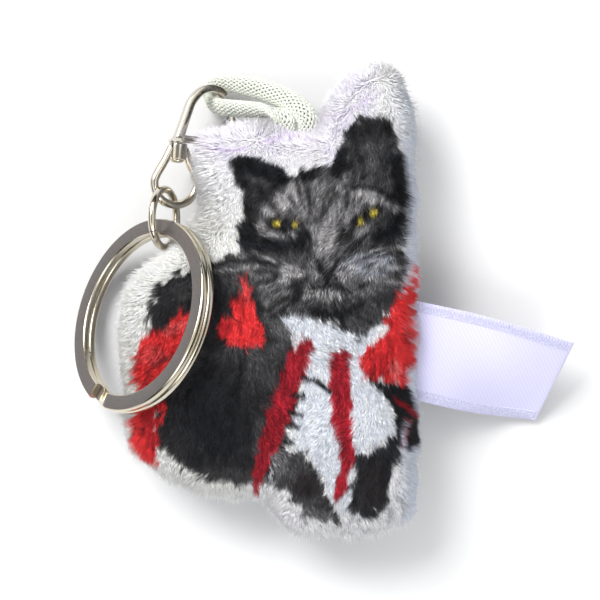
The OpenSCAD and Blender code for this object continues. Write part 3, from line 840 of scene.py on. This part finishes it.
def make_label():
    label = make_piece("ribbon_label", folded_label(), SATIN, "plush",
                       ["satin_label"], flat_angle=50)
    edging = make_piece("label_edging", selvedge_loops(), THREAD, "plush")
    return label


label = make_label()

# ---- the hardware ----

# the swivel's axis is y in its own frame, which is turned like this
TURN = [("Z", -4), ("X", 3), ("Y", 30)]
swivel_at = np.array(joints["swivel"]["pos_m"]) / MM


def swivel_frame():
    turn = Matrix.Identity(3)
    for axis, angle in TURN:
        turn = turn @ Matrix.Rotation(math.radians(angle), 3, axis)
    return np.array(turn)


SWIVEL_TURN = swivel_frame()
BARREL_H, BASE_D, END_GAP, BASE_H = 2.45, 3.1, 0.06, 0.8
BASE_Y = BARREL_H / 2 + END_GAP
ROOT_Y = BASE_Y + BASE_H - 0.3
HOOK_WIRE, EYE_WIRE, EYE_HALF = 1.3, 1.3, 3.6
GATE_WIDTH = 0.7
HOOK_BACK = [(0, 0), (0.3, 1.3), (1.1, 4), (1.8, 6), (3.2, 7.6), (4.8, 8.2), (6.4, 8), (7.4, 7.3)]
HOOK_FOOT = [(0.2, 0.2), (2.2, 0.1), (4.4, 0.3), (6.6, 1), (7.6, 1.35)]
GATE_PIVOT = (8.5, 1.6)
EAR_RADIUS, EAR_THICK, EAR_GAP, EAR_SIDES = 0.85, 0.4, 0.08, 32
EYE_SIDE = [(-1.1, 0.5), (-2, -1.4), (-EYE_HALF * 0.93, -3.9), (-EYE_HALF, -5.1),
            (-EYE_HALF * 0.86, -6.6), (-EYE_HALF * 0.5, -7.8)]


def in_swivel(shape):
    corners, faces = shape
    return swivel_at + np.asarray(corners) @ SWIVEL_TURN.T, faces


def flat_path(points, rise, steps=8):
    return spline([(x, y + rise, 0) for x, y in points], steps)


def lathe(profile, sides=64):
    """A turned shape about the swivel's axis, from (radius, height) points, closed at both ends."""
    corners = [(r * math.cos(a), h, r * math.sin(a)) for r, h in profile for a in whole_turn(sides)]
    return np.array(corners), shell_faces(sides, len(profile))


def hook_bar(path, base, tip, flare):
    """A bar of the hook: its width goes from base to tip and flares a little at its root."""
    t = np.linspace(0, 1, len(path))[:, None]
    widths = base * (1 - t) + tip * t + flare * np.exp(-t * 14)
    return tube(path, rounded_square(1, 0.16), (0, 0, 1), widths)


def gate_ear(side):
    """One of the two discs that hold the gate's pin."""
    middle = side * (GATE_WIDTH / 2 + EAR_GAP + EAR_THICK / 2)
    x, y = GATE_PIVOT[0], GATE_PIVOT[1] + ROOT_Y
    corners = [(x + EAR_RADIUS * math.cos(a), y + EAR_RADIUS * math.sin(a), middle + half)
               for half in (-EAR_THICK / 2, EAR_THICK / 2) for a in whole_turn(EAR_SIDES)]
    return np.array(corners), shell_faces(EAR_SIDES, 2)


def make_hook():
    top, r = ROOT_Y + 0.3, BASE_D / 2
    base = lathe([(r - 0.12, BASE_Y), (r, BASE_Y + 0.1), (r, BASE_Y + 0.26),
                  (r - 0.14, BASE_Y + 0.36), (r * 0.74, top - 0.14), (HOOK_WIRE * 0.66, top + 0.06)])
    back = hook_bar(flat_path(HOOK_BACK, ROOT_Y), HOOK_WIRE, HOOK_WIRE * 0.92, 0.5)
    foot = hook_bar(flat_path(HOOK_FOOT, ROOT_Y), HOOK_WIRE * 0.95, HOOK_WIRE * 0.8, 0.3)
    shape = in_swivel(joined([base, back, foot, gate_ear(-1), gate_ear(1)]))
    return make_piece("snap_hook", shape, NICKEL, "hook", ["hook_body"], 35)


def make_eye():
    bow = EYE_SIDE + [(0, -8.2)] + [(-x, y) for x, y in EYE_SIDE[::-1]]
    wire = tube(flat_path(bow, 0, 10), round_section(EYE_WIRE, EYE_WIRE, 20), (0, 0, 1))
    r, h = (BASE_D - 0.2) / 2, BARREL_H / 2
    profile = [(0.62, -h), (r - 0.16, -h), (r - 0.03, -h + 0.1), (r, -h + 0.24), (r - 0.05, -0.2),
               (r - 0.05, 0.2), (r, h - 0.24), (r - 0.03, h - 0.1), (r - 0.16, h), (0.62, h)]
    shape = in_swivel(joined([wire, lathe(profile)]))
    return make_piece("swivel_bow", shape, NICKEL, "eye", ["swivel_eye"], 40)


def make_rivet():
    low = -BARREL_H / 2 - END_GAP
    profile = [(0.35, low - 0.52), (0.7, low - 0.46), (0.95, low - 0.3), (1.05, low - 0.1),
               (1.03, low), (0.55, low), (0.55, BASE_Y + 0.55), (0.3, BASE_Y + 0.6)]
    shape = in_swivel(lathe(profile))
    return make_piece("rivet_head", shape, NICKEL, "hook", ["swivel_rivet"], 40)


def node_points(node):
    return coordinates(frame["nodes"][node].data) / MM


JUMP_RADIUS, JUMP_WIRE = 4.4, 1.2
# where the ends meet and the gap between them, in degrees
JUMP_CUT_AT, JUMP_CUT = 150, 1.5


def make_jump_ring():
    """A round wire ring with the fine gap where its ends meet."""
    points = node_points("jump_ring")
    middle = points.mean(0)
    normal = np.linalg.svd(points - middle, full_matrices=False)[2][2]
    normal = normal * np.sign(normal[2] or 1)
    hang = np.array(joints["jump_swing"]["pos_m"]) / MM - middle
    x = unit(hang - (hang @ normal) * normal)
    y = np.cross(normal, x)
    gap = math.radians(JUMP_CUT) / 2
    turn = np.radians(JUMP_CUT_AT) + np.linspace(gap, 2 * math.pi - gap, 150)
    path = middle + JUMP_RADIUS * (np.cos(turn)[:, None] * x + np.sin(turn)[:, None] * y)
    wire = tube(path, round_section(JUMP_WIRE, JUMP_WIRE, 24), normal)
    return make_piece("jump_link", wire, NICKEL, "jump_ring", ["jump_ring"], 50)


SPLIT_D, SPLIT_W, SPLIT_T, SPLIT_GAP = 30, 2.5, 1.15, 0.06
SPLIT_LEAN, SPLIT_TILT, SPLIT_START, STEP_HALF = 20, 50, 186, 9
SPLIT_ROUND, SPLIT_STEPS = 0.3, 360


def flat_wire():
    """The split ring's section: a flat bar whose corners are well rounded."""
    section = []
    for sx, sy in ((1, 1), (-1, 1), (-1, -1), (1, -1)):
        for a in np.linspace(0, math.pi / 2, 5):
            c, s = (math.cos(a), math.sin(a)) if sx * sy > 0 else (math.sin(a), math.cos(a))
            section.append((sx * (SPLIT_W / 2 - SPLIT_ROUND * (1 - c)),
                            sy * (SPLIT_T / 2 - SPLIT_ROUND * (1 - s))))
    return section


def make_split_ring():
    """One flat wire wound twice, that steps from one turn to the other."""
    lean, tilt = math.radians(SPLIT_LEAN), math.radians(SPLIT_TILT)
    long_way = np.array([math.sin(lean), math.cos(lean), 0])
    level = np.array([math.cos(lean), -math.sin(lean), 0])
    normal = np.cross(long_way, level * math.cos(tilt) + np.array([0, 0, math.sin(tilt)]))
    rising = np.cross(normal, long_way)
    axes = np.stack([long_way, rising, normal])
    spread = node_points("split_ring") @ axes.T
    centre = (spread.min(0) + spread.max(0)) / 2 @ axes
    turn = STEP_HALF + 1 + (720 - 2 * STEP_HALF - 2) * np.linspace(0, 1, SPLIT_STEPS)
    climb = np.sin(np.clip((turn - 360) / STEP_HALF, -1, 1) * math.pi / 2)[:, None]
    angle = np.radians(SPLIT_START + turn)[:, None]
    radial = np.cos(angle) * long_way + np.sin(angle) * rising
    path = centre + radial * (SPLIT_D - SPLIT_W) / 2 + climb * (SPLIT_T + SPLIT_GAP) / 2 * normal
    wire = swept(path, flat_wire(), radial, np.broadcast_to(normal, radial.shape))
    ring = make_piece("split_ring_wire", wire, RING_EDGE, "split_ring",
                      ["split_ring"], 40)
    ring.data.materials.append(RING_FACE_PAINTED_REFLECTION)
    # painted reflection: the faces square to the ring's axis take the dark face material
    flat = [1 if abs(np.dot(p.normal, normal)) > 0.97 else 0 for p in ring.data.polygons]
    ring.data.polygons.foreach_set("material_index", flat)
    return ring


neighbours = [cord, label, make_hook(), make_eye(), make_rivet(), make_jump_ring(), make_split_ring()]

for node, material in (("hook_gate", NICKEL), ("gate_pin", NICKEL), ("gate_spring", SPRING),
                       ("stuffing", FIBRE), ("seam_thread", THREAD), ("closing_thread", THREAD)):
    for place in frame["nodes"][node].material_slots:
        place.material = material

# ---- the stuffed body, swollen by its filling ----

# the simulation runs on a body ten times as large, where its units suit cloth
SIM_SCALE = 10
VOXEL = 0.9
START_IN = 0.5
CAP = 0.75
PRESSURE = 4
SIM_FRAMES = 20
SEAM_BAND = 0.7
LUMP = 0.22
CREASE_DEEP, CREASE_HALF = 0.35, 0.5
FABRIC_LOW = 0.15
# painted shade: the fabric and the roots of the pile are darker than its tips, as shade deep in the
# pile would make them
PAINTED_ROOT_SHADE = 0.7


def copied_nodes(names):
    work = bmesh.new()
    for name in names:
        work.from_mesh(frame["nodes"][name].data)
    bmesh.ops.scale(work, vec=(SIM_SCALE,) * 3, verts=work.verts)
    mesh = bpy.data.meshes.new("body_start")
    work.to_mesh(mesh)
    work.free()
    return linked("body_start", mesh)


def applied(obj):
    """The object's mesh with its modifiers made real."""
    depsgraph = bpy.context.evaluated_depsgraph_get()
    mesh = bpy.data.meshes.new_from_object(obj.evaluated_get(depsgraph), depsgraph=depsgraph)
    obj.modifiers.clear()
    obj.data = mesh
    return mesh


def keep_outer_skin(mesh):
    """Drops the closed hollows inside, keeping the part with the most corners."""
    work = bmesh.new()
    work.from_mesh(mesh)
    left = set(work.verts)
    best = set()
    while left:
        grown, front = set(), [left.pop()]
        while front:
            v = front.pop()
            grown.add(v)
            for edge in v.link_edges:
                other = edge.other_vert(v)
                if other in left:
                    left.remove(other)
                    front.append(other)
        best = max(best, grown, key=len)
    bmesh.ops.delete(work, geom=[v for v in work.verts if v not in best], context="VERTS")
    work.to_mesh(mesh)
    work.free()


def swell(obj):
    """Fills the skin by pressure while its seam is held, and caps how far a point may move."""
    before = coordinates(obj.data)
    seam = np.abs(before[:, 2] / (MM * SIM_SCALE) - SEAM_Z) < SEAM_BAND
    group = obj.vertex_groups.new(name="seam")
    group.add(np.flatnonzero(seam).tolist(), 1.0, "REPLACE")
    cloth = obj.modifiers.new("swell", "CLOTH")
    cloth.settings.quality = 5
    cloth.settings.use_pressure = True
    cloth.settings.uniform_pressure_force = PRESSURE
    cloth.settings.vertex_group_mass = "seam"
    cloth.settings.effector_weights.gravity = 0
    cloth.point_cache.frame_start, cloth.point_cache.frame_end = 1, SIM_FRAMES
    for frame_number in range(1, SIM_FRAMES + 1):
        scene.frame_set(frame_number)
    mesh = applied(obj)
    move = coordinates(mesh) - before
    reach = np.linalg.norm(move, axis=1, keepdims=True)
    move *= np.minimum(1, CAP * MM * SIM_SCALE / np.maximum(reach, 1e-9))
    set_coordinates(mesh, before + move)
    obj.vertex_groups.clear()
    scene.frame_set(1)


def make_body():
    obj = copied_nodes(["front_panel", "back_panel", "stuffing"])
    remesh = obj.modifiers.new("skin", "REMESH")
    remesh.mode = "VOXEL"
    remesh.voxel_size = VOXEL * MM * SIM_SCALE
    even = obj.modifiers.new("even", "SMOOTH")
    even.iterations = 4
    even.factor = 0.5
    mesh = applied(obj)
    keep_outer_skin(mesh)
    set_coordinates(mesh, coordinates(mesh) - normals_of(mesh) * START_IN * MM * SIM_SCALE)
    swell(obj)
    mesh = obj.data
    set_coordinates(mesh, coordinates(mesh) / SIM_SCALE)
    finer = obj.modifiers.new("finer", "SUBSURF")
    finer.levels = 1
    mesh = applied(obj)
    co = coordinates(mesh)
    x, y, z = (co / MM).T
    lumps = noise(x + z, y, 7, 40) + 0.5 * noise(x, y - z, 3, 41) - 0.75
    crease = np.exp(-((z - SEAM_Z) / CREASE_HALF) ** 2)
    co += normals_of(mesh) * ((lumps * LUMP - CREASE_DEEP * crease) * MM)[:, None]
    co[:, 2] = np.maximum(co[:, 2], FABRIC_LOW * MM)
    set_coordinates(mesh, co)
    finish_mesh(mesh)
    obj.name = mesh.name = "plush_fabric"
    mesh.materials.clear()
    mesh.materials.append(BACKING)
    # painted shade: the fabric under the pile is darkened
    store_colour(mesh, plush_colour(coordinates(mesh) / MM) * PAINTED_ROOT_SHADE)
    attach(obj, "plush")
    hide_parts("front_panel", "back_panel")
    return obj


def store_colour(mesh, rgb):
    layer = mesh.color_attributes.new(name="print", type="FLOAT_COLOR", domain="POINT")
    rgba = np.ones((len(rgb), 4), np.float32)
    rgba[:, :3] = rgb
    layer.data.foreach_set("color", rgba.ravel())


body = make_body()

# ---- the pile: fine fibres rooted all over the fabric ----

FRONT_FIBRES, BACK_FIBRES = 125000, 45000
FIBRES_PER_PIECE = 19000
FIBRE_SEED = 7
FRONT_LENGTH, BACK_LENGTH = 1.35, 1.9
EDGE_GROWTH, TUFT_GROWTH = 0.45, 0.6
THINNEST, THICKER_BY = 0.062, 0.035
ROOT_DEEP, FIBRE_LOW, TIP_STRAY = 0.1, 0.06, 0.09
# how steeply the fibres rise, in degrees: at least, at random, and towards the edge
RISE, RISE_SPREAD, RISE_AT_EDGE = 15, 16, 36
# how near a fibre may come to the cord, the label and the metal, and how far round them to look
CLEAR, LOOK_ROUND = 0.12, 3
# the share of a fibre's colour taken from where each end is; the rest is the fibre's own mean
PRINT_BY_PLACE = 0.85


def surface_samples(mesh, count, rng, wanted):
    """Random places on the fabric with their normals, where wanted(z) says how dense they are."""
    mesh.calc_loop_triangles()
    tri = np.empty(len(mesh.loop_triangles) * 3, np.int32)
    mesh.loop_triangles.foreach_get("vertices", tri)
    tri = tri.reshape(-1, 3)
    co, nor = coordinates(mesh) / MM, normals_of(mesh)
    a, b, c = co[tri[:, 0]], co[tri[:, 1]], co[tri[:, 2]]
    area = np.linalg.norm(np.cross(b - a, c - a), axis=1) * wanted((a + b + c)[:, 2] / 3)
    pick = rng.choice(len(tri), count, p=area / area.sum())
    u, v = rng.random(count), rng.random(count)
    flip = u + v > 1
    u[flip], v[flip] = 1 - u[flip], 1 - v[flip]
    w = 1 - u - v
    place = a[pick] * w[:, None] + b[pick] * u[:, None] + c[pick] * v[:, None]
    na, nb, nc = (nor[tri[pick, k]] for k in range(3))
    return place, unit(na * w[:, None] + nb * u[:, None] + nc * v[:, None])


def nap(place, normal, rng):
    """Which way the pile lies: down the charm, in swirls, and outwards at its edge."""
    x, y = place[:, 0], place[:, 1]
    swirl = (noise(x, y, 9, 50) - 0.5) * 1.9 + (noise(x, y, 2.6, 51) - 0.5) * 1.5
    angle = -math.pi / 2 + swirl + rng.normal(0, 0.24, len(x))
    lay = np.stack([np.cos(angle), np.sin(angle), np.zeros(len(x))], 1)
    edge = smooth((np.hypot(normal[:, 0], normal[:, 1]) - 0.55) / 0.4)[:, None]
    out = np.stack([normal[:, 0], normal[:, 1], np.zeros(len(x))], 1)
    lay = lay * (1 - 0.6 * edge) + unit(out) * 1.5 * edge
    lay -= (lay * normal).sum(1)[:, None] * normal
    return unit(lay)


def fibre_mesh(name, root, middle, tip, side, up, radius, rgb):
    """Three-sided tapering fibres, each a closed solid of seven corners."""
    count = len(root)
    corners = np.empty((count, 7, 3))
    for k in range(3):
        a = 2 * math.pi * k / 3 + math.pi / 2
        off = (math.cos(a) * side + math.sin(a) * 0.6 * up) * radius[:, None]
        corners[:, k] = root + off
        corners[:, 3 + k] = middle + off * 0.8
    corners[:, 6] = tip
    pattern = [(0, 1, 4, 3), (1, 2, 5, 4), (2, 0, 3, 5), (3, 4, 6), (4, 5, 6), (5, 3, 6), (2, 1, 0)]
    flat = np.array([i for face in pattern for i in face])
    sizes = np.array([len(face) for face in pattern])
    loops = (np.arange(count)[:, None] * 7 + flat).ravel()
    totals = np.tile(sizes, count)
    starts = np.concatenate([[0], np.cumsum(totals)[:-1]])
    mesh = bpy.data.meshes.new(name)
    mesh.vertices.add(count * 7)
    mesh.vertices.foreach_set("co", (corners * MM).astype(np.float32).ravel())
    mesh.loops.add(len(loops))
    mesh.loops.foreach_set("vertex_index", loops.astype(np.int32))
    mesh.polygons.add(len(totals))
    mesh.polygons.foreach_set("loop_start", starts.astype(np.int32))
    mesh.polygons.foreach_set("use_smooth", np.ones(len(totals), bool))
    mesh.update(calc_edges=True)
    tone = np.repeat(rgb, [6, 1], axis=1)
    # painted shade: the three root corners of each fibre are darkened
    tone[:, :3] *= PAINTED_ROOT_SHADE
    store_colour(mesh, np.clip(tone, 0, LIGHTEST).reshape(-1, 3))
    plan = corners.reshape(-1, 3)[:, :2]
    flat_map = (plan - plan.min(0)) / (plan.max(0) - plan.min(0))
    layer = mesh.uv_layers.new(name="OFBake")
    layer.uv.foreach_set("vector", flat_map[loops].astype(np.float32).ravel())
    return mesh


def neighbours_tree():
    """Everything that the pile must not grow into."""
    meshes = [obj.data for obj in (*neighbours, frame["nodes"]["hook_gate"])]
    corners, faces = joined([(coordinates(mesh) / MM, [tuple(p.vertices) for p in mesh.polygons])
                             for mesh in meshes])
    return BVHTree.FromPolygons(corners.tolist(), faces)


def grow(side_name, count, rng, wanted, long_mm):
    """One side's fibres, in pieces small enough for the export."""
    place, normal = surface_samples(body.data, count, rng, wanted)
    lay = nap(place, normal, rng)
    x, y = place[:, 0], place[:, 1]
    length = long_mm * (0.65 + 0.6 * rng.random(count)) * (0.85 + 0.35 * noise(x, y, 4, 60))
    edge = smooth((np.hypot(normal[:, 0], normal[:, 1]) - 0.6) / 0.35)
    length *= 1 + EDGE_GROWTH * edge * (0.5 + noise(x, y, 2.4, 61))
    length *= 1 + TUFT_GROWTH * flank_tufts(place) * edge
    rise = np.radians(RISE + RISE_SPREAD * rng.random(count) + RISE_AT_EDGE * edge)
    first = np.cos(rise)[:, None] * lay + np.sin(rise)[:, None] * normal
    droop = rise * (0.35 + 0.35 * edge)
    last = np.cos(droop)[:, None] * lay + np.sin(droop)[:, None] * normal
    root = place - normal * ROOT_DEEP
    middle = root + first * length[:, None] * 0.5
    tip = middle + last * length[:, None] * 0.5
    tip += rng.normal(0, TIP_STRAY, (count, 3))
    for points in (middle, tip):
        points[:, 2] = np.maximum(points[:, 2], FIBRE_LOW)
    rows = np.flatnonzero(is_clear(place, root, tip))
    at_middle, at_tip = plush_colour(middle), plush_colour(tip)
    own = (at_middle + at_tip) * (1 - PRINT_BY_PLACE) / 2
    speckle = 0.16 + 0.4 * smooth(at_tip.max(1) / 0.1) * smooth((0.45 - at_tip.max(1)) / 0.2)
    vary = 1 + speckle * (2 * rng.random(count) - 1)
    colour = np.stack([own + PRINT_BY_PLACE * at_middle, own + PRINT_BY_PLACE * at_tip], 1)
    colour *= vary[:, None, None]
    up = np.cross(unit(tip - root), np.cross(normal, lay))
    side = unit(np.cross(lay, normal))
    radius = THINNEST + THICKER_BY * rng.random(count)
    for part, start in enumerate(range(0, len(rows), FIBRES_PER_PIECE)):
        k = rows[start:start + FIBRES_PER_PIECE]
        name = f"pile_{side_name}_{part + 1}"
        mesh = fibre_mesh(name, root[k], middle[k], tip[k], side[k], unit(up[k]), radius[k], colour[k])
        mesh.materials.append(PILE)
        obj = linked(name, mesh)
        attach(obj, "plush")


def flank_tufts(place):
    """1 beside the neck, where the pile is long enough to cover the swivel's inner side."""
    x, y, z = place.T
    level = smooth((y - 7) / 2) * smooth((27 - y) / 2)
    return smooth((-15.5 - x) / 2) * level * smooth((z - 8.5) / 2)


def is_clear(place, root, tip):
    """Which fibres miss the cord, the label and the metal."""
    near = np.zeros(len(place), bool)
    for obj in neighbours:
        co = coordinates(obj.data) / MM
        near |= ((place > co.min(0) - LOOK_ROUND) & (place < co.max(0) + LOOK_ROUND)).all(1)
    tree = neighbours_tree()
    clear = np.ones(len(place), bool)
    for i in np.flatnonzero(near):
        start, end = Vector(root[i]), Vector(tip[i])
        way = end - start
        hit = tree.ray_cast(start, way.normalized(), way.length + CLEAR)[0]
        clear[i] = hit is None and tree.find_nearest(end, CLEAR)[0] is None
    return clear


def on_front(z):
    return smooth((z - SEAM_Z + PRINT_BELOW) / 2)


def make_pile():
    rng = np.random.default_rng(FIBRE_SEED)
    share = 1
    grow("front", int(FRONT_FIBRES * share), rng, on_front, FRONT_LENGTH)
    grow("back", int(BACK_FIBRES * share), rng, lambda z: 1 - on_front(z), BACK_LENGTH)


make_pile()

# ---- floor and light ----


FLOOR_HALF = 1.2
FLOOR_GREY = 0.66


def make_floor():
    material, _, shader = new_material("floor")
    shader.inputs["Base Color"].default_value = (*grey(FLOOR_GREY), 1)
    shader.inputs["Roughness"].default_value = 0.9
    mesh = bpy.data.meshes.new("floor")
    corners = [(x * FLOOR_HALF, y * FLOOR_HALF, 0) for x, y in ((-1, -1), (1, -1), (1, 1), (-1, 1))]
    mesh.from_pydata(corners, [], [(0, 1, 2, 3)])
    mesh.materials.append(material)
    linked("floor", mesh)


def make_light(name, place, size, power, colour=(1, 1, 1)):
    data = bpy.data.lights.new(name, "AREA")
    data.size = size
    data.energy = power
    data.color = colour
    light = linked(name, data)
    light.location = place
    light.rotation_euler = (-Vector(place)).to_track_quat("-Z", "Y").to_euler()


# (sine of the height above the horizon, brightness): a pale horizon, a dark band, a bright ring
SKY = [(0, 0.6), (0.1, 0.6), (0.17, 0.02), (0.56, 0.03), (0.64, 1), (0.88, 0.9), (0.95, 0.22),
       (1, 0.18)]
SKY_STRENGTH = 1.55


def make_world():
    """Light from all round, in bands, so that metal has something to reflect."""
    world = bpy.data.worlds.new("studio")
    scene.world = world
    world.use_nodes = True
    tree = world.node_tree
    where = add(tree, "ShaderNodeTexCoord")
    split = add(tree, "ShaderNodeSeparateXYZ")
    tree.links.new(where.outputs["Generated"], split.inputs["Vector"])
    sky = ramp(tree, split.outputs["Z"], [(height, grey(v)) for height, v in SKY])
    back = tree.nodes["Background"]
    tree.links.new(sky, back.inputs["Color"])
    back.inputs["Strength"].default_value = SKY_STRENGTH


make_floor()
make_world()
make_light("key", (-0.35, 0.4, 0.55), 0.4, 7)
make_light("fill", (0.15, -0.5, 0.55), 0.4, 2, (0.93, 0.96, 1))
scene.view_settings.view_transform = "Standard"
